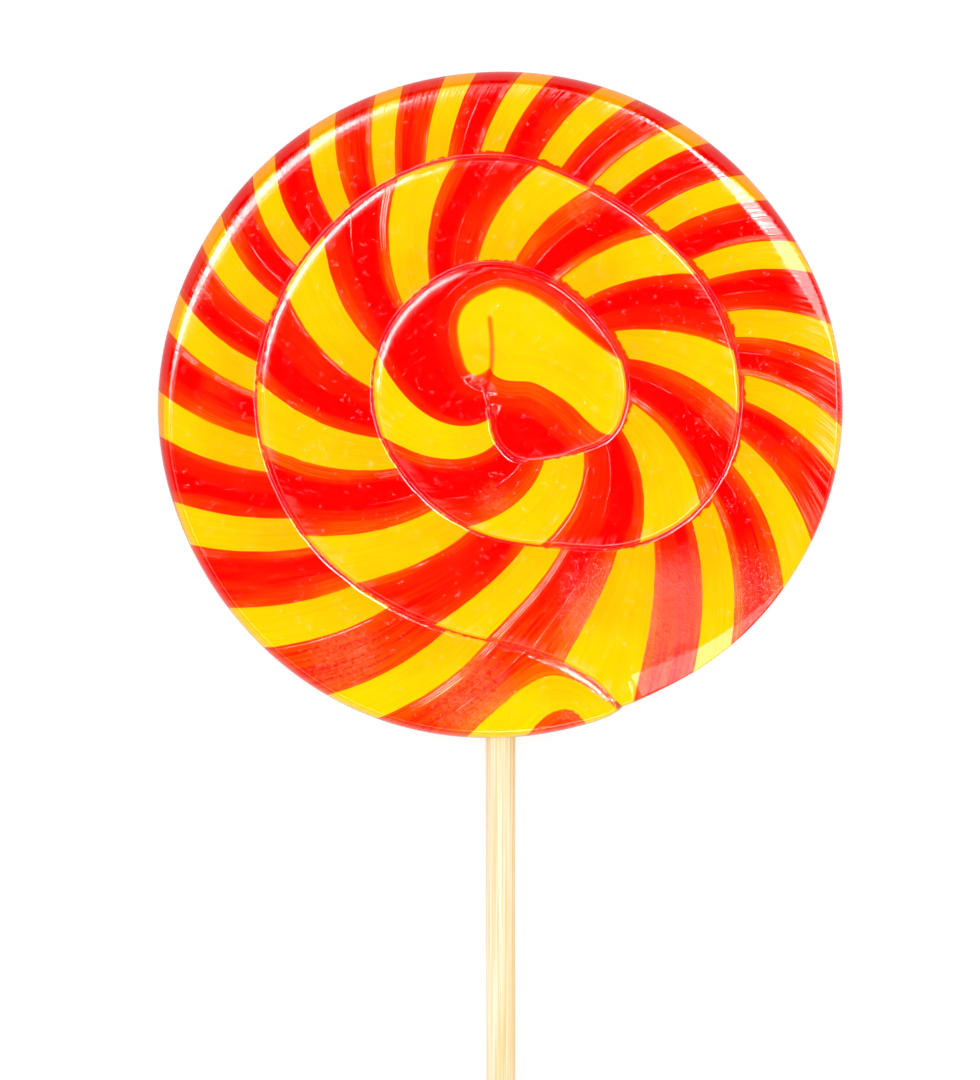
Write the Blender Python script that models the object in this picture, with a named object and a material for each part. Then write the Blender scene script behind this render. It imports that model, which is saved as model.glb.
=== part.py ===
"""A flat swirl lollipop, lying on its back.

A rope of twisted boiled sugar is coiled outwards in a spiral, pressed flat and fused
into one disc, and a round wooden stick runs into the disc's rim. The disc lies in the
XY plane with its back on z = 0, the swirl's centre is over the origin, and the stick
points along -Y. Angles are counted anticlockwise from +X and run on from turn to turn,
so that one number says both the direction and the turn of the spiral.
"""

import math

import bmesh
import bpy
import numpy as np

MM = 0.001

# The candy disc.
THICKNESS = 8.5 * MM
CROWN = 0.18 * MM               # how far a turn's two edges lie below its middle
FRONT_ROUNDING = 3.3 * MM       # width of the rounded shoulder round the front
BACK_ROUNDING = 2.6 * MM        # and round the back, which was pressed on a plate
ROUNDING_POWER = 2.2            # 2 is an ellipse, more is squarer

# The seam between neighbouring turns.
FRONT_SEAM_DEPTH = 0.65 * MM
BACK_SEAM_DEPTH = 0.45 * MM
SEAM_HALF_WIDTH = 1.0 * MM
FRONT_SEAM_FROM = (190.0, 225.0)    # the seam deepens from nothing between these angles
BACK_SEAM_FROM = (330.0, 400.0)     # so that the middle of the back stays flat

# The rope's first end is folded over itself beside the centre: a crease runs down to a
# short hollow under the folded lobe, and on into the seam. Points in mm from the centre.
CREASE = ((-1.4, 11.4), (-1.2, 8.2), (-1.2, 4.6), (-1.7, 2.2), (-1.4, -0.9), (-0.7, -3.6))
LOBE_HOLLOW = ((-4.6, 3.6), (-3.2, 2.4), (-1.7, 2.2))
FOLD_DEPTH = 0.6 * MM
FOLD_HALF_WIDTH = 1.9 * MM

# The spiral: distance from the centre, in mm, of the rope's outer edge.
SPIRAL_START = 147.0
SPIRAL_EDGE = (
    (147, 0.0), (163, 1.1), (180, 1.6), (215, 1.8), (240, 2.4), (255, 3.8), (270, 5.5),
    (285, 7.4), (300, 8.4), (315, 9.8), (330, 12.1), (345, 15.2), (360, 16.5),
    (378, 17.1), (405, 17.0), (430, 17.9), (460, 18.9), (490, 18.3), (520, 17.5),
    (550, 16.4), (575, 15.7), (600, 16.1), (625, 17.4), (645, 19.2), (658, 21.4),
    (670, 24.6), (690, 29.1), (705, 31.0), (722, 31.7), (742, 31.7), (768, 30.9),
    (790, 31.3), (808, 32.8), (825, 33.2), (860, 32.5), (900, 32.3), (930, 31.3),
    (960, 30.3), (978, 30.6), (990, 31.6), (1000, 33.8), (1006, 36.5), (1010, 40.0),
    (1012, 43.4),
)
# From where the seam reaches the rim, the outer edge is the disc's own outline, up to
# the thin tip of the rope's tail.
OUTLINE_START = 1012.0
TAIL_END = 1372.0
OUTLINE = (
    (1012, 43.3), (1018, 43.4), (1030, 44.1), (1050, 45.0), (1072, 45.6), (1090, 45.5),
    (1115, 45.0), (1150, 44.7), (1180, 44.6), (1205, 45.0), (1235, 45.3), (1262, 45.7),
    (1290, 45.3), (1330, 44.8), (1352, 44.2), (1364, 43.9), (1368, 44.0), (1370.5, 44.0),
    (1372, 43.3),
)
TIP_ANGLE = 1.5                 # the tail's edge turns in to the rim over these last degrees

# The stick.
STICK_DIAMETER = 4.0 * MM
STICK_OUTSIDE = 112.0 * MM      # length outside the disc
STICK_INSIDE = 24.0 * MM        # length held in the disc
STICK_ANGLE = 1350.0            # where the last turn passes straight below the centre
STICK_END_BEVEL = 0.35 * MM
STICK_SIDES = 32
SOCKET_CLEARANCE = 0.3 * MM

# Mesh fineness.
EVEN_COLUMNS = 72               # evenly spaced columns in a turn
ROWS = 11
FINEST_ROW = 0.6 * MM
END_REFINEMENT = 0.8            # how much closer the rows lie at the edges of a turn

CANDY_COLOUR = (0.87, 0.03, 0.01, 1.0)
CANDY_ROUGHNESS = 0.12
STICK_COLOUR = (0.86, 0.70, 0.45, 1.0)
STICK_ROUGHNESS = 0.65


def clear_scene():
    """Remove every object, so that the script builds on an empty scene."""
    for obj in list(bpy.data.objects):
        bpy.data.objects.remove(obj, do_unlink=True)


def make_material(name, colour, roughness):
    """A plain Principled material."""
    material = bpy.data.materials.new(name)
    material.use_nodes = True
    shader = material.node_tree.nodes["Principled BSDF"]
    shader.inputs["Base Color"].default_value = colour
    shader.inputs["Roughness"].default_value = roughness
    shader.inputs["Metallic"].default_value = 0.0
    return material


def add_object(name, mesh, material=None):
    """Link a mesh into the scene under a name."""
    obj = bpy.data.objects.new(name, mesh)
    bpy.context.scene.collection.objects.link(obj)
    if material:
        mesh.materials.append(material)
    return obj


def smooth_through(knots, x):
    """Read a smooth curve through (x, y) knots: cubic pieces with shared slopes."""
    knot_x, knot_y = np.array(knots, dtype=float).T
    slope = np.gradient(knot_y, knot_x)
    piece = np.clip(np.searchsorted(knot_x, x, side="right") - 1, 0, len(knot_x) - 2)
    width = knot_x[piece + 1] - knot_x[piece]
    t = (x - knot_x[piece]) / width
    rise = knot_y[piece + 1] - knot_y[piece]
    start, end = slope[piece] * width, slope[piece + 1] * width
    return knot_y[piece] + t * start + t**2 * (3 * rise - 2 * start - end) + t**3 * (start + end - 2 * rise)


def smooth_step(x, low, high):
    """Rise smoothly from 0 at low to 1 at high."""
    t = np.clip((x - low) / (high - low), 0.0, 1.0)
    return t * t * (3 - 2 * t)


def edge_radius(angle):
    """Distance from the centre of the rope's outer edge at a running angle."""
    angle = np.asarray(angle, dtype=float)
    inner_turns = smooth_through(SPIRAL_EDGE, np.minimum(angle, OUTLINE_START))
    last_turn = smooth_through(OUTLINE, np.maximum(angle, OUTLINE_START))
    return np.where(angle < OUTLINE_START, inner_turns, last_turn) * MM


def on_ray(angle, radius):
    """Points at a distance from the centre in a direction given in degrees."""
    turn = np.radians(angle)
    return np.stack([radius * np.cos(turn), radius * np.sin(turn)], axis=-1)


def nearest_on_path(points, path):
    """Distance of each point to an open path, and how far along the path, in its points."""
    start, run = path[:-1], np.diff(path, axis=0)
    offset = points[:, None, :] - start[None, :, :]
    along = np.clip((offset * run).sum(axis=2) / (run * run).sum(axis=1), 0.0, 1.0)
    distance = np.linalg.norm(offset - along[..., None] * run, axis=2)
    nearest = distance.argmin(axis=1)
    row = np.arange(len(points))
    return distance[row, nearest], nearest + along[row, nearest]


def hollow(distance, half_width):
    """Cross-section of a crease: 1 at its bottom, 0 from its half width on."""
    return np.clip(1.0 - distance / half_width, 0.0, 1.0) ** 2


def rounding(distance, width):
    """Height of the rounded rim, from 0 at the outline to 1 past the shoulder."""
    flat = np.clip(1.0 - distance / width, 0.0, 1.0)
    return (1.0 - flat**ROUNDING_POWER) ** (1.0 / ROUNDING_POWER)


def seam_depth(points, angles, seam, fade, depth):
    """Depth of the seam under each point."""
    distance, position = nearest_on_path(points, seam)
    angle = np.interp(position, np.arange(len(angles)), angles)
    return depth * smooth_step(angle, *fade) * hollow(distance, SEAM_HALF_WIDTH)


def fold_depth(points):
    """Depth of the crease and the hollow beside the folded end, on the front."""
    crease, position = nearest_on_path(points, np.array(CREASE) * MM)
    lobe, _ = nearest_on_path(points, np.array(LOBE_HOLLOW) * MM)
    crease_depth = smooth_step(position, 0.0, 1.5) * (1 - smooth_step(crease, 0.0, FOLD_HALF_WIDTH))
    return FOLD_DEPTH * np.maximum(crease_depth, 1 - smooth_step(lobe, 0.0, FOLD_HALF_WIDTH))


class SwirlGrid:
    """The coiled rope seen from above, cut into columns that run from edge to edge.

    A column is a straight row of points on one ray, from the rope's outer edge inwards
    to the outer edge of the turn before, or to the centre. As every turn has the same
    number of columns, neighbouring turns share the points of the seam between them.
    """

    def __init__(self):
        step = 360.0 / EVEN_COLUMNS
        turns = math.ceil((TAIL_END - SPIRAL_START) / 360.0)
        back_from_tail = np.append(np.arange(EVEN_COLUMNS) * step, TIP_ANGLE)
        angles = TAIL_END - np.add.outer(back_from_tail, 360.0 * np.arange(turns)).ravel()
        self.per_turn = len(back_from_tail)
        self.angles = np.sort(angles[angles > SPIRAL_START - step / 2])
        self.edge = edge_radius(self.angles)
        self.points = []            # (x, y) of each grid point; the first is the centre
        self.across = []            # 0 at a turn's inner edge, 1 at its outer edge
        self.columns = []           # for each column, its point numbers, outer edge first
        self.first_outline = len(self.angles) - 1 - self.per_turn
        self.add_point((0.0, 0.0), 0.0)
        for number in range(len(self.angles)):
            self.columns.append(self.make_column(number))

    def add_point(self, point, across):
        """Add a grid point and return its number."""
        self.points.append(tuple(point))
        self.across.append(across)
        return len(self.points) - 1

    def make_column(self, number):
        """Lay out one column, with its rows closer together towards its two ends."""
        before = number - self.per_turn
        inner_number = self.columns[before][0] if before > 0 else 0
        inner = self.edge[before] if before > 0 else 0.0
        if number in (0, len(self.angles) - 1):
            return [inner_number]       # the rope's two ends, where it has no width
        width = self.edge[number] - inner
        rows = int(np.clip(math.ceil(width / FINEST_ROW), 1, ROWS))
        column = []
        for row in range(rows):
            part = row / rows
            part -= END_REFINEMENT * math.sin(2 * math.pi * part) / (2 * math.pi)
            radius = self.edge[number] - part * width
            column.append(self.add_point(on_ray(self.angles[number], radius), 1.0 - part))
        return column + [inner_number]

    def outline_numbers(self):
        """The points round the rim, where the front meets the back."""
        return [column[0] for column in self.columns[self.first_outline:]]

    def faces(self):
        """Faces between neighbouring columns, anticlockwise seen from above."""
        result = []
        for left, right in zip(self.columns[:-1], self.columns[1:]):
            for row in range(max(len(left), len(right)) - 1):
                corners = [
                    left[min(row, len(left) - 1)],
                    right[min(row, len(right) - 1)],
                    right[min(row + 1, len(right) - 1)],
                    left[min(row + 1, len(left) - 1)],
                ]
                corners = list(dict.fromkeys(corners))
                if len(corners) > 2:
                    result.append(corners)
        return result


def candy_heights(grid):
    """Heights of the front and of the back at every grid point."""
    points = np.array(grid.points)
    across = np.array(grid.across)
    rim = points[grid.outline_numbers()]
    to_rim, _ = nearest_on_path(points, rim)
    seam_angles = grid.angles[: grid.first_outline + 1]
    seam = on_ray(seam_angles, grid.edge[: grid.first_outline + 1])

    crown = CROWN * (2 * across - 1) ** 2
    crown[0] = 0.0
    front_dip = crown + seam_depth(points, seam_angles, seam, FRONT_SEAM_FROM, FRONT_SEAM_DEPTH)
    front_dip = np.maximum(front_dip, fold_depth(points))
    back_dip = seam_depth(points, seam_angles, seam, BACK_SEAM_FROM, BACK_SEAM_DEPTH)

    half = THICKNESS / 2
    front = half + (half - front_dip) * rounding(to_rim, FRONT_ROUNDING)
    back = half - (half - back_dip) * rounding(to_rim, BACK_ROUNDING)
    return front, back


def candy_mesh():
    """The fused disc as one closed mesh: a front and a back that meet round the rim."""
    grid = SwirlGrid()
    front, back = candy_heights(grid)
    vertices = [(x, y, z) for (x, y), z in zip(grid.points, front)]
    back_number = {}
    on_rim = set(grid.outline_numbers())
    for number, ((x, y), z) in enumerate(zip(grid.points, back)):
        if number in on_rim:
            back_number[number] = number
        else:
            back_number[number] = len(vertices)
            vertices.append((x, y, z))
    front_faces = grid.faces()
    back_faces = [[back_number[number] for number in reversed(face)] for face in front_faces]

    mesh = bpy.data.meshes.new("candy")
    mesh.from_pydata(vertices, [], front_faces + back_faces)
    model = bmesh.new()
    model.from_mesh(mesh)
    bmesh.ops.triangulate(model, faces=model.faces[:])
    model.to_mesh(mesh)
    model.free()
    return mesh


def rod_mesh(name, radius, near, far, bevel=0.0):
    """A round rod along Y, between two distances below the centre, with bevelled ends."""
    model = bmesh.new()
    bmesh.ops.create_cone(
        model, cap_ends=True, segments=STICK_SIDES, radius1=radius, radius2=radius, depth=far - near
    )
    if bevel:
        rims = [edge for edge in model.edges if any(len(face.verts) > 4 for face in edge.link_faces)]
        bmesh.ops.bevel(model, geom=rims, offset=bevel, segments=2, affect="EDGES", profile=0.5)
    for vertex in model.verts:
        x, y, z = vertex.co
        vertex.co = (x, z - (near + far) / 2, y + THICKNESS / 2)
    bmesh.ops.recalc_face_normals(model, faces=model.faces[:])
    mesh = bpy.data.meshes.new(name)
    model.to_mesh(mesh)
    model.free()
    return mesh


def rim_below_centre():
    """Distance of the rim from the centre where the stick enters it."""
    return float(edge_radius(STICK_ANGLE))


def build_stick():
    """The wooden stick, from its end inside the disc to its free end."""
    rim = rim_below_centre()
    mesh = rod_mesh("stick", STICK_DIAMETER / 2, rim - STICK_INSIDE, rim + STICK_OUTSIDE, STICK_END_BEVEL)
    mesh.shade_smooth()
    mesh.set_sharp_from_angle(angle=math.radians(50))
    return add_object("stick", mesh, make_material("stick wood", STICK_COLOUR, STICK_ROUGHNESS))


def build_candy():
    """The candy disc, with the blind hole that the stick is set in."""
    mesh = candy_mesh()
    mesh.shade_smooth()
    mesh.set_sharp_from_angle(angle=math.radians(50))
    candy = add_object("candy", mesh, make_material("candy sugar", CANDY_COLOUR, CANDY_ROUGHNESS))

    rim = rim_below_centre()
    near = rim - STICK_INSIDE - SOCKET_CLEARANCE
    far = rim + FRONT_ROUNDING
    rod = rod_mesh("socket_cutter", STICK_DIAMETER / 2 + SOCKET_CLEARANCE, near, far)
    cutter = add_object("socket_cutter", rod)
    cutter.display_type = "WIRE"
    cutter.hide_render = True

    socket = candy.modifiers.new("stick socket", "BOOLEAN")
    socket.operation = "DIFFERENCE"
    socket.solver = "EXACT"
    socket.object = cutter
    return candy


clear_scene()
build_candy()
build_stick()
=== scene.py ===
"""The looks of a flat swirl lollipop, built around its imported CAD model.

The stripes follow how far the rope of sugar has been twisted at each place. Running angles
are counted anticlockwise from +X and on from turn to turn. Tables are in mm and degrees.
Unevenness is given by its height and the size of its humps, both in mm, and a seed.
"""

import math

import bpy
import numpy as np
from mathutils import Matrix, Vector, noise


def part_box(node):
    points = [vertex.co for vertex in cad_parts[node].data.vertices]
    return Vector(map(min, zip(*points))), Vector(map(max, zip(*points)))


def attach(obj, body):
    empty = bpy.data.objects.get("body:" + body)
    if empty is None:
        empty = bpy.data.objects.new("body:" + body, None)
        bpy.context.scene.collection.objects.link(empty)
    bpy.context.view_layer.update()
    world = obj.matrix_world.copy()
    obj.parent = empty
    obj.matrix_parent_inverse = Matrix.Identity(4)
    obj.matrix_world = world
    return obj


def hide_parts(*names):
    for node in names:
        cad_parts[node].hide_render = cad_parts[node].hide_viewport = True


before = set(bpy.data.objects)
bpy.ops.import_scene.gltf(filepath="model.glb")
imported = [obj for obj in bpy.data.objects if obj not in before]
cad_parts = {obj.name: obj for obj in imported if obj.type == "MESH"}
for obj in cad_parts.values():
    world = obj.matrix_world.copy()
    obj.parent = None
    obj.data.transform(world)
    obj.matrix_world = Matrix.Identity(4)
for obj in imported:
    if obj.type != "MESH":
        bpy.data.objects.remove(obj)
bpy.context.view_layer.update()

MM = 0.001
_, CANDY_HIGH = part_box("candy")
STICK_LOW, STICK_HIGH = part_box("stick")

# The candy disc, as in the CAD model.
THICKNESS = CANDY_HIGH.z
MIDDLE = THICKNESS / 2
CROWN = 0.20 * MM  # how far a turn's two edges lie below its middle
BACK_ROUNDING = 2.2 * MM  # width of the rounded shoulder round the back
ROUNDING_POWER = 2.2  # 2 is an ellipse, more is squarer

# Width of the front's rounded shoulder in each direction.
FRONT_ROUNDING = (
    (-20, 0.7), (0, 1), (15, 0.7), (25, 0.8), (38, 1.6), (50, 2.6), (60, 2.9), (75, 2.9),
    (100, 3.2), (120, 3.8), (150, 3.8), (168, 2.8), (185, 1.9), (215, 1.5), (250, 1.1),
    (285, 0.7), (298, 0.2), (322, 0.2), (340, 0.6), (360, 1), (380, 0.7),
)
# Width of the band round the rim that is painted darker, as painted shade of the steep side, in each
# direction.
RIM_SHADE_WIDTHS = (
    (0, 0), (18, 0), (25, 0.4), (38, 1.3), (50, 2.1), (60, 2.2), (90, 1.8), (140, 1.9),
    (165, 1.4), (185, 0.9), (210, 0), (360, 0),
)
# Width of the two flat facets pressed into the shoulder in each direction.
UPPER_FACET = ((4, 0), (14, 1.3), (24, 2.8), (38, 3.4), (46, 3.1), (60, 2.1), (72, 0))
LOWER_FACET = ((294.4, 0), (295.6, 3.8), (304, 3.1), (315, 2), (332, 0))
FACET_SLOPE = 0.30
FACET_WANDER = (0.10, 3.0, 5.0)
FRONT_HUMPS = ((0.035, 9.0, 0.0), (0.008, 2.5, 1.0))

# How strongly the seam between neighbouring turns shows at a running angle.
FRONT_SEAM = ((185, 0), (215, 1), (286, 1), (296, 0.2), (322, 0.2), (334, 1), (1012, 1))
BACK_SEAM = ((330, 0), (400, 1), (1012, 1))
FRONT_SEAM_DEPTH = 0.42 * MM
BACK_SEAM_DEPTH = 0.40 * MM
# Width of its slope on the side of the turn inside it, in each direction.
INNER_LIP = ((0, 0.4), (30, 0.45), (80, 0.65), (110, 1.3), (170, 1.3), (200, 0.8), (300, 0.6), (360, 0.4))
# The same on the outer side, at a running angle.
OUTER_LIP = ((185, 0.5), (930, 0.5), (980, 1.1), (1012, 1.8))
SEAM_WANDER = (0.12, 2.2, 3.0)  # how unevenly the seam's lips run
SEAM_STEADY = 0.3 * MM  # but less so within this distance

# The rope's folded end by the centre: a crease runs down to a short hollow under the folded
# lobe, and on into the seam.
CREASE = (
    (-1.45, 11.6), (-1.2, 9.1), (-1.1, 6.9), (-1.25, 4.9), (-1.7, 3.0), (-1.8, 1.4), (-1.5, -0.4),
    (-1.2, -2.0),
)
LOBE_HOLLOW = ((-4.8, 3.8), (-4.0, 2.9), (-3.1, 2.4), (-2.3, 2.25), (-1.8, 1.5))
CREASE_STEPS, LOBE_STEPS = 40, 24  # how many steps their lines are cut into
# The crease's depth at some of its steps.
CREASE_DEPTHS = ((4.0, 0.0), (14.0, 0.09), (23.0, 0.09), (29.0, 0.45), (40.0, 0.45))
CREASE_HALF_WIDTH = 0.6 * MM
LOBE_HOLLOW_DEPTH = 0.66 * MM
LOBE_FADE = (0.0, 7.0)  # it deepens between these steps
LOBE_SLOPE = 1.8 * MM  # width of the hollow's flat side towards the lobe
LOBE_LIP = 0.40 * MM  # and of the other side

# The spiral: how far the rope's outer edge is from the centre.
SPIRAL_START = 147.0
SPIRAL_EDGE = (
    (147, 0), (163, 1.1), (180, 1.6), (215, 1.8), (240, 2.4), (255, 3.8), (270, 5.5),
    (285, 7.4), (300, 8.4), (315, 9.8), (330, 12.1), (345, 15.2), (360, 16.5),
    (378, 17.1), (405, 17), (430, 17.9), (460, 18.9), (490, 18.3), (520, 17.5),
    (550, 16.4), (575, 15.7), (600, 16.1), (625, 17.4), (645, 19.2), (658, 21.4),
    (670, 24.6), (690, 29.1), (705, 31), (722, 31.7), (742, 31.7), (768, 30.9),
    (790, 31.3), (808, 32.8), (825, 33.2), (860, 32.5), (900, 32.3), (930, 31.3),
    (960, 30.3), (978, 30.6), (990, 31.6), (1000, 33.8), (1006, 36.5), (1010, 40),
    (1012, 43.4),
)
# From where the seam reaches the rim, that edge is the disc's outline, up to the tail's tip.
OUTLINE_START = 1012.0
TAIL_END = 1372.0
OUTLINE = (
    (1012, 43.3), (1018, 43.4), (1030, 44.1), (1050, 45), (1072, 45.6), (1090, 45.5),
    (1115, 45), (1150, 44.7), (1180, 44.6), (1205, 45), (1235, 45.3), (1262, 45.7),
    (1290, 45.3), (1330, 44.8), (1352, 44.2), (1364, 43.95), (1368, 43.9), (1370, 43.75),
    (1371.2, 43.55), (1372, 43.3),
)

# The yellow stripes: number along the rope, the angles at which a stripe's middle meets the
# rope's outer and inner edge, and how far it bows forward in between.
STRIPES = (
    (-2, 255, 320, 0), (-1, 345, 420, 0), (0, 445, 520, 0),
    (1, 537.5, 610, -8), (2, 632.9, 682.8, 0), (3, 685.4, 717, 0),
    (5, 761.5, 779.7, 0), (7, 827.9, 847.8, 1), (9, 902.4, 924.3, 0),
    (11, 980.7, 1008, -2.5), (12, 1009.5, 1035, -2.5), (13, 1029.9, 1053.7, 0),
    (15, 1072.9, 1084.8, 0.9), (17, 1106.1, 1114.8, 0.9), (19, 1134.5, 1145.2, 0.5),
    (21, 1163.6, 1172.6, 0.5), (23, 1189.5, 1197.5, 0.3), (25, 1214.6, 1223.2, 1.5),
    (27, 1244.1, 1253.8, 0.8), (29, 1280.4, 1293.2, 0), (31, 1324, 1342.3, 0),
    (32, 1348.5, 1370, 0), (33, 1372, 1400, 0),
)
# A yellow stripe's two edges, in full twists from its middle.
ODD_STRIPE = (-0.107, 0.088)
EVEN_STRIPE = (-0.112, 0.097)
PER_MM = 0.027  # how fast the twist changes beside the odd-shaped end stripes
RED_MIDDLE = 0.25  # from a stripe's middle to the middle of the next red

# The first stripe is folded into a hook by the centre. Its outline: from the seam over the
# top and round the folded lobe to the crease, and back below to the seam.
HOOK_TOP = (
    (17.4, 2), (16.6, 5.6), (15, 6.7), (13.4, 7.7), (11.2, 9.4), (9.2, 10.9), (7.3, 12.6),
    (5.1, 14.1), (2.7, 15.2), (0, 15.6), (-2.6, 14.8), (-4.7, 13.2), (-5.7, 11),
    (-5.65, 8.8), (-5.1, 6.4), (-4.3, 4.5), (-3.4, 3.9), (-2.4, 4.2), (-1.4, 4.9),
)
HOOK_BELOW = (
    (-1.4, 4.9), (-1, 4.2), (0.4, 3.4), (2.1, 3.2), (3.9, 3.1), (6.6, 1.9), (9.6, -0.2),
    (11.5, -2.1), (13.4, -3.6), (15.8, -4), (17.4, 2),
)
HOOK_STEPS = (100, 60)
HOOK_END, CORE_END = SPIRAL_START + 360.0, SPIRAL_START + 460.0
HOOK_PER_MM = 0.015  # the twist changes more slowly above the hook, up to a fine line
HOOK_BORDER = (1.2, 1.5)  # how far from the hook that line lies
HOOK_BORDER_TWIST = 0.10

# The last stripe bends into an arch over a patch of red at the rim: directions and
# distances of both outlines.
ARCH = (
    (263, 48), (264, 44.5), (266, 42.7), (268.2, 41.1), (271.3, 39.2), (274.4, 37.7),
    (277.3, 36.8), (280.1, 36.5), (282.9, 36.9), (285.1, 37.9), (286.7, 38.9), (288.4, 40.4),
    (290.2, 42.2), (291.6, 44.2), (292, 48),
)
PATCH = (
    (271.8, 48), (272.9, 44.4), (275, 43.7), (276.3, 42.7), (278.2, 41.7), (280.4, 41.2),
    (282.3, 41.2), (284.1, 42.1), (285.1, 43.7), (285.6, 48),
)
ARCH_STEPS, PATCH_STEPS = 120, 80
ARCH_STRIPE = 32
ARCH_LEAST_WIDTH = 0.01
PATCH_PER_MM = 0.02  # how fast the twist changes in the patch
TAIL_START = OUTLINE_START + 270.0
ARCH_FROM = (15.15, 15.35)  # the arch takes over between these twists
STRAIGHT_TAIL = (1270.0, 1310.0)  # past here the stripes run straight across the back

# Mesh fineness.
COLUMNS_PER_TURN = 504
FRONT_ROWS = 36
BACK_ROWS = 14
FINEST_ROW = 0.12 * MM
END_REFINEMENT = 0.8  # how much closer the rows lie at the edges of a turn
FOLD_ROWS = ((360, 0), (395, 44), (570, 44), (605, 0))  # more rows by the fold
PATH_STEP = 3  # distances to the seam are taken to every third point
HALVINGS = 22  # of the range in which a twist is looked for
CHUNK = 2500  # points measured at a time

# The stick.
STICK_RADIUS = (STICK_HIGH.x - STICK_LOW.x) / 2
STICK_INSIDE = 14.0 * MM  # length set in the candy
STICK_SIDES = 96
STICK_RINGS = 90
STICK_END_BEVEL = 0.35 * MM
BEVEL_STEPS = (0.0, 0.15, 0.5)
STICK_ANGLE = 1350.0  # running angle at which it enters the rim
STICK_SHARP = 50  # edges that bend more stay sharp
GRAIN_DEPTH = 0.035 * MM
GRAIN_GROOVES = ((7.0, 60 * MM), (1.2, 45 * MM))  # how fine round the stick, and how long

# What is stored at each point: distances to the rim, the seam and the fold, and how far the point
# lies inside the band of painted rim shade and the lower facet.
DISTANCES = ("to_rim", "to_seam", "to_fold", "in_band", "in_facet")
FAR_OUTSIDE = -10 * MM

# A flat map of both sides: their centres, and the map's widths in a metre.
MAP_FRONT, MAP_BACK = (0.29, 0.29), (0.71, 0.71)
MAP_SCALE = 0.29 / (52.0 * MM)

# What is in view: its width and its middle.
VIEW_WIDTH = 130.6667 * MM
VIEW_CENTRE = (-1.4 * MM, -17.87 * MM)
CAMERA_DISTANCE = 0.9
SENSOR_WIDTH = 36.0

FLOOR_SIZE = 6.0
FLOOR_BELOW = 0.02 * MM
FLOOR_COLOUR = (0.95, 0.95, 0.95, 1.0)
FLOOR_ROUGHNESS, FLOOR_SPECULAR = 0.9, 0.1
FLOOR_GLOW, FLOOR_GLOW_SHARE = 1.12, 0.6  # how bright it glows, and the share without shadow
FLOOR_MIRRORED = 0.60  # how bright it is in the gloss
WORLD_LEVEL = 1.02
HORIZON_HEIGHT = 0.2  # how high the strip reaches that the gloss mirrors
LIGHT_DISTANCE = 0.9
# Lights: direction, height above the horizon, size in metres, and brightness. The first one
# lights the candy, and the others are only mirrored in its gloss.
OVERHEAD = ("overhead", 90, 90, (0.7, 0.7), 2.1)
SHINES = (
    ("upper_left", 141, 49, (0.62, 0.40), 24.0),
    ("upper_left_high", 138, 68, (0.45, 0.22), 3.0),
    ("upper_right", 27, 52, (0.60, 0.42), 9.5),
    ("top_right", 52, 50, (0.24, 0.32), 26.0),
    ("lower_right", 298, 53, (0.62, 0.36), 6.5),
    ("left", 212, 44, (0.70, 0.24), 2.0),
    ("bottom", 258, 45, (0.50, 0.24), 2.5),
    ("top", 88, 42, (0.30, 0.20), 2.0),
    ("right", 355, 46, (0.30, 0.24), 1.5),
)


# --- Curves and distances ---


def between(knots, x):
    """Read straight lines through (x, y) knots."""
    return np.interp(x, *np.array(knots).T)


def smooth_through(knots, x):
    """Read a smooth curve through (x, y) knots."""
    knot_x, knot_y = np.array(knots, dtype=float).T
    slope = np.gradient(knot_y, knot_x)
    piece = np.clip(np.searchsorted(knot_x, x, side="right") - 1, 0, len(knot_x) - 2)
    width = knot_x[piece + 1] - knot_x[piece]
    t = (x - knot_x[piece]) / width
    rise = knot_y[piece + 1] - knot_y[piece]
    start, end = slope[piece] * width, slope[piece + 1] * width
    bend = t**2 * (3 * rise - 2 * start - end) + t**3 * (start + end - 2 * rise)
    return knot_y[piece] + t * start + bend


def smooth_line(points, steps):
    """A smooth line through points, cut into a number of steps."""
    points = np.array(points, dtype=float)
    gaps = np.linalg.norm(np.diff(points, axis=0), axis=1)
    length = np.concatenate([[0.0], np.cumsum(gaps)])
    at = np.linspace(0.0, length[-1], steps + 1)
    lines = [smooth_through(np.stack([length, axis], axis=1), at) for axis in points.T]
    return np.stack(lines, axis=1)


def smooth_step(x, low, high):
    """Rise smoothly from 0 at low to 1 at high."""
    t = np.clip((x - low) / (high - low), 0.0, 1.0)
    return t * t * (3 - 2 * t)


def on_ray(angle, radius):
    """Points in a direction at a distance from the centre."""
    turn = np.radians(angle)
    return np.stack([radius * np.cos(turn), radius * np.sin(turn)], axis=-1)


def edge_radius(angle):
    """Distance of the rope's outer edge from the centre."""
    angle = np.asarray(angle, dtype=float)
    inner_turns = smooth_through(SPIRAL_EDGE, np.minimum(angle, OUTLINE_START))
    last_turn = smooth_through(OUTLINE, np.maximum(angle, OUTLINE_START))
    return np.where(angle < OUTLINE_START, inner_turns, last_turn) * MM


def nearest_on_path(points, path):
    """Distance of each point to a path, and how far along it, in the path's points."""
    start, run = path[:-1], np.diff(path, axis=0)
    distance, position = np.empty(len(points)), np.empty(len(points))
    for first in range(0, len(points), CHUNK):
        part = slice(first, first + CHUNK)
        offset = points[part, None, :] - start[None, :, :]
        along = np.clip((offset * run).sum(axis=2) / (run * run).sum(axis=1), 0.0, 1.0)
        gap = np.linalg.norm(offset - along[..., None] * run, axis=2)
        nearest = gap.argmin(axis=1)
        row = np.arange(len(nearest))
        distance[part] = gap[row, nearest]
        position[part] = nearest + along[row, nearest]
    return distance, position


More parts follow.
